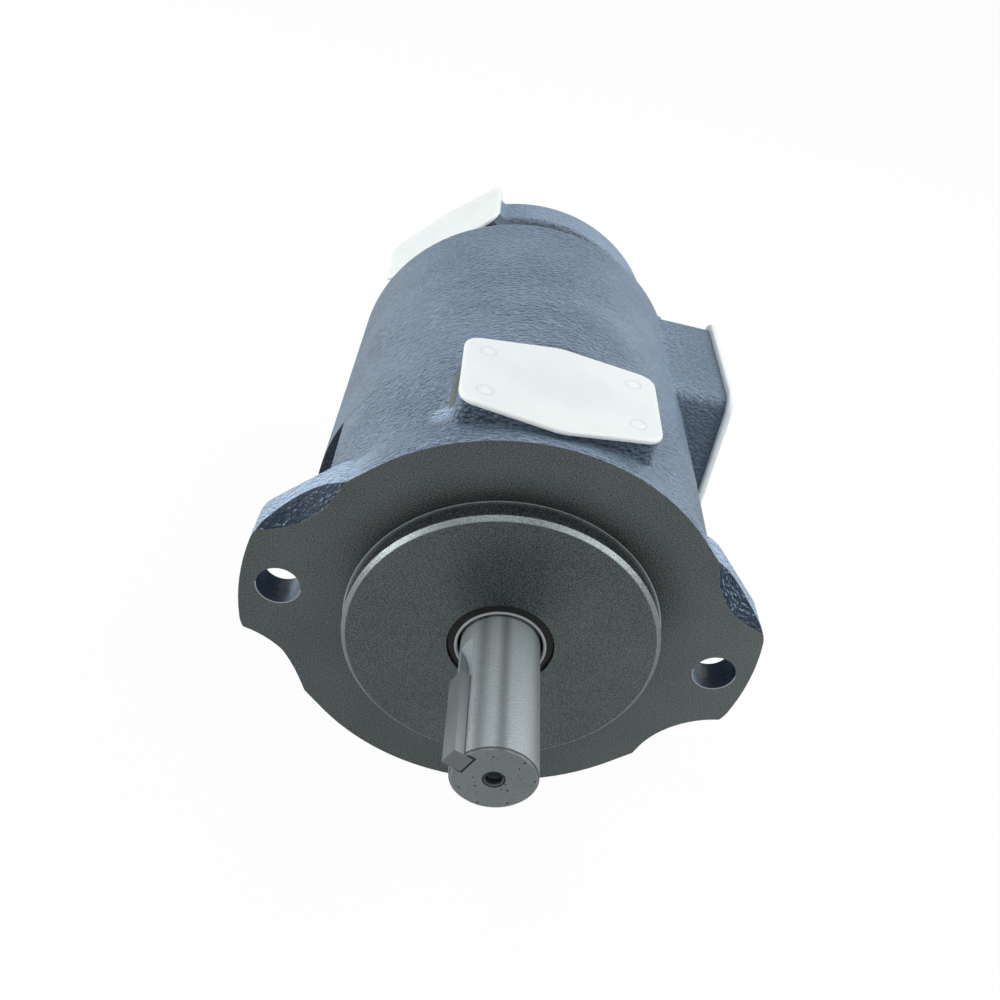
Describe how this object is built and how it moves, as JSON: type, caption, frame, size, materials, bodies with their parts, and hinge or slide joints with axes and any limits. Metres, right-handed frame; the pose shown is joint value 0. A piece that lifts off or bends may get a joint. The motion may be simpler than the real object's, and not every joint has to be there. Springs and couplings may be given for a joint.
{
  "type": "double vane pump",
  "caption": "Hydraulic double vane pump: round cast body, two-bolt pilot flange, keyed steel shaft, side inlet and two outlets under plastic port covers.",
  "frame": {"origin": "on the shaft axis, in the mounting face of the flange", "axes": "-Y along the shaft towards its driven end, +Z towards the front outlet, +X towards the inlet"},
  "size_m": [0.2116, 0.3642, 0.1849],
  "materials": {
    "casting_paint": "semi-gloss blue-grey paint on a rough sand casting; the flange face and the pilot are bare machined iron",
    "machined_iron": "machined",
    "ground_steel": "ground",
    "key_steel": "drawn",
    "bearing_steel": "hardened and ground",
    "vane_steel": "ground",
    "cage_steel": "pressed",
    "spring_steel": "blackened",
    "fastener_steel": "black oxide",
    "seal_case_steel": "bright",
    "bronze": "machined",
    "seal_rubber": "moulded",
    "cover_plastic": "milky white, slightly see-through"
  },
  "bodies": {
    "pump": {"body_casting": "casting_paint", "rear_cover": "casting_paint", "cover_seal_ring": "seal_rubber", "cover_bolts": "fastener_steel", "shaft_seal": "seal_rubber", "shaft_seal_case": "seal_case_steel", "garter_spring": "spring_steel", "bearing_outer_race": "bearing_steel", "bearing_retaining_ring": "spring_steel", "rear_bush": "bronze", "cartridge_spacer": "machined_iron", "front_outlet_plate": "machined_iron", "front_hub_seal": "seal_rubber", "front_flex_plates": "bronze", "front_cam_ring": "bearing_steel", "front_inlet_plate": "machined_iron", "front_cartridge_screws": "fastener_steel", "front_dowel_pins": "bearing_steel", "rear_outlet_plate": "machined_iron", "rear_hub_seal": "seal_rubber", "rear_flex_plates": "bronze", "rear_cam_ring": "bearing_steel", "rear_inlet_plate": "machined_iron", "rear_cartridge_screws": "fastener_steel", "rear_dowel_pins": "bearing_steel"},
    "shaft": {"shaft": "ground_steel", "shaft_key": "key_steel", "bearing_inner_race": "bearing_steel", "shaft_retaining_ring": "spring_steel", "front_rotor": "bearing_steel", "front_vane_inserts": "bearing_steel", "rear_rotor": "bearing_steel", "rear_vane_inserts": "bearing_steel"},
    "ball_cage": {"bearing_balls": "bearing_steel", "bearing_cage": "cage_steel"},
    "front_port_cover": {"front_port_cover": "cover_plastic"},
    "inlet_port_cover": {"inlet_port_cover": "cover_plastic"},
    "rear_port_cover": {"rear_port_cover": "cover_plastic"},
    "front_vane_01": {"front_vane_01": "vane_steel"},
    "front_vane_02": {"front_vane_02": "vane_steel"},
    "front_vane_03": {"front_vane_03": "vane_steel"},
    "front_vane_04": {"front_vane_04": "vane_steel"},
    "front_vane_05": {"front_vane_05": "vane_steel"},
    "front_vane_06": {"front_vane_06": "vane_steel"},
    "front_vane_07": {"front_vane_07": "vane_steel"},
    "front_vane_08": {"front_vane_08": "vane_steel"},
    "front_vane_09": {"front_vane_09": "vane_steel"},
    "front_vane_10": {"front_vane_10": "vane_steel"},
    "rear_vane_01": {"rear_vane_01": "vane_steel"},
    "rear_vane_02": {"rear_vane_02": "vane_steel"},
    "rear_vane_03": {"rear_vane_03": "vane_steel"},
    "rear_vane_04": {"rear_vane_04": "vane_steel"},
    "rear_vane_05": {"rear_vane_05": "vane_steel"},
    "rear_vane_06": {"rear_vane_06": "vane_steel"},
    "rear_vane_07": {"rear_vane_07": "vane_steel"},
    "rear_vane_08": {"rear_vane_08": "vane_steel"},
    "rear_vane_09": {"rear_vane_09": "vane_steel"},
    "rear_vane_10": {"rear_vane_10": "vane_steel"}
  },
  "joints": [
    {"name": "shaft_spin", "type": "hinge", "parent": "pump", "child": "shaft", "pos_m": [0, 0, 0], "axis": [0, -1, 0], "continuous": true},
    {"name": "cage_spin", "type": "hinge", "parent": "pump", "child": "ball_cage", "pos_m": [0, 0.0145, 0], "axis": [0, -1, 0], "continuous": true},
    {"name": "front_vane_01_slide", "type": "slide", "parent": "shaft", "child": "front_vane_01", "axis": [0.9511, 0, -0.309], "range_m": [0, 0.00595]},
    {"name": "front_vane_02_slide", "type": "slide", "parent": "shaft", "child": "front_vane_02", "axis": [0.5878, 0, -0.809], "range_m": [0, 0.00165]},
    {"name": "front_vane_03_slide", "type": "slide", "parent": "shaft", "child": "front_vane_03", "axis": [0, 0, -1], "range_m": [0, 0.00035]},
    {"name": "front_vane_04_slide", "type": "slide", "parent": "shaft", "child": "front_vane_04", "axis": [-0.5878, 0, -0.809], "range_m": [0, 0.00165]},
    {"name": "front_vane_05_slide", "type": "slide", "parent": "shaft", "child": "front_vane_05", "axis": [-0.9511, 0, -0.309], "range_m": [0, 0.00595]},
    {"name": "front_vane_06_slide", "type": "slide", "parent": "shaft", "child": "front_vane_06", "axis": [-0.9511, 0, 0.309], "range_m": [0, 0.00595]},
    {"name": "front_vane_07_slide", "type": "slide", "parent": "shaft", "child": "front_vane_07", "axis": [-0.5878, 0, 0.809], "range_m": [0, 0.00165]},
    {"name": "front_vane_08_slide", "type": "slide", "parent": "shaft", "child": "front_vane_08", "axis": [0, 0, 1], "range_m": [0, 0.00035]},
    {"name": "front_vane_09_slide", "type": "slide", "parent": "shaft", "child": "front_vane_09", "axis": [0.5878, 0, 0.809], "range_m": [0, 0.00165]},
    {"name": "front_vane_10_slide", "type": "slide", "parent": "shaft", "child": "front_vane_10", "axis": [0.9511, 0, 0.309], "range_m": [0, 0.00595]},
    {"name": "rear_vane_01_slide", "type": "slide", "parent": "shaft", "child": "rear_vane_01", "axis": [0.9511, 0, 0.309], "range_m": [0, 0.00495]},
    {"name": "rear_vane_02_slide", "type": "slide", "parent": "shaft", "child": "rear_vane_02", "axis": [0.5878, 0, 0.809], "range_m": [0, 0.00142]},
    {"name": "rear_vane_03_slide", "type": "slide", "parent": "shaft", "child": "rear_vane_03", "axis": [0, 0, 1], "range_m": [0, 0.00035]},
    {"name": "rear_vane_04_slide", "type": "slide", "parent": "shaft", "child": "rear_vane_04", "axis": [-0.5878, 0, 0.809], "range_m": [0, 0.00142]},
    {"name": "rear_vane_05_slide", "type": "slide", "parent": "shaft", "child": "rear_vane_05", "axis": [-0.9511, 0, 0.309], "range_m": [0, 0.00495]},
    {"name": "rear_vane_06_slide", "type": "slide", "parent": "shaft", "child": "rear_vane_06", "axis": [-0.9511, 0, -0.309], "range_m": [0, 0.00495]},
    {"name": "rear_vane_07_slide", "type": "slide", "parent": "shaft", "child": "rear_vane_07", "axis": [-0.5878, 0, -0.809], "range_m": [0, 0.00142]},
    {"name": "rear_vane_08_slide", "type": "slide", "parent": "shaft", "child": "rear_vane_08", "axis": [0, 0, -1], "range_m": [0, 0.00035]},
    {"name": "rear_vane_09_slide", "type": "slide", "parent": "shaft", "child": "rear_vane_09", "axis": [0.5878, 0, -0.809], "range_m": [0, 0.00142]},
    {"name": "rear_vane_10_slide", "type": "slide", "parent": "shaft", "child": "rear_vane_10", "axis": [0.9511, 0, -0.309], "range_m": [0, 0.00495]},
    {"name": "front_port_cover_lift", "type": "slide", "parent": "pump", "child": "front_port_cover", "axis": [0, 0, 1], "range_m": [0, 0.03]},
    {"name": "inlet_port_cover_lift", "type": "slide", "parent": "pump", "child": "inlet_port_cover", "axis": [1, 0, 0], "range_m": [0, 0.03]},
    {"name": "rear_port_cover_lift", "type": "slide", "parent": "pump", "child": "rear_port_cover", "axis": [-0.7071, 0, 0.7071], "range_m": [0, 0.03]}
  ],
  "couplings": [
    {"joint": "cage_spin", "follows": "shaft_spin", "ratio": 0.39626}
  ]
}
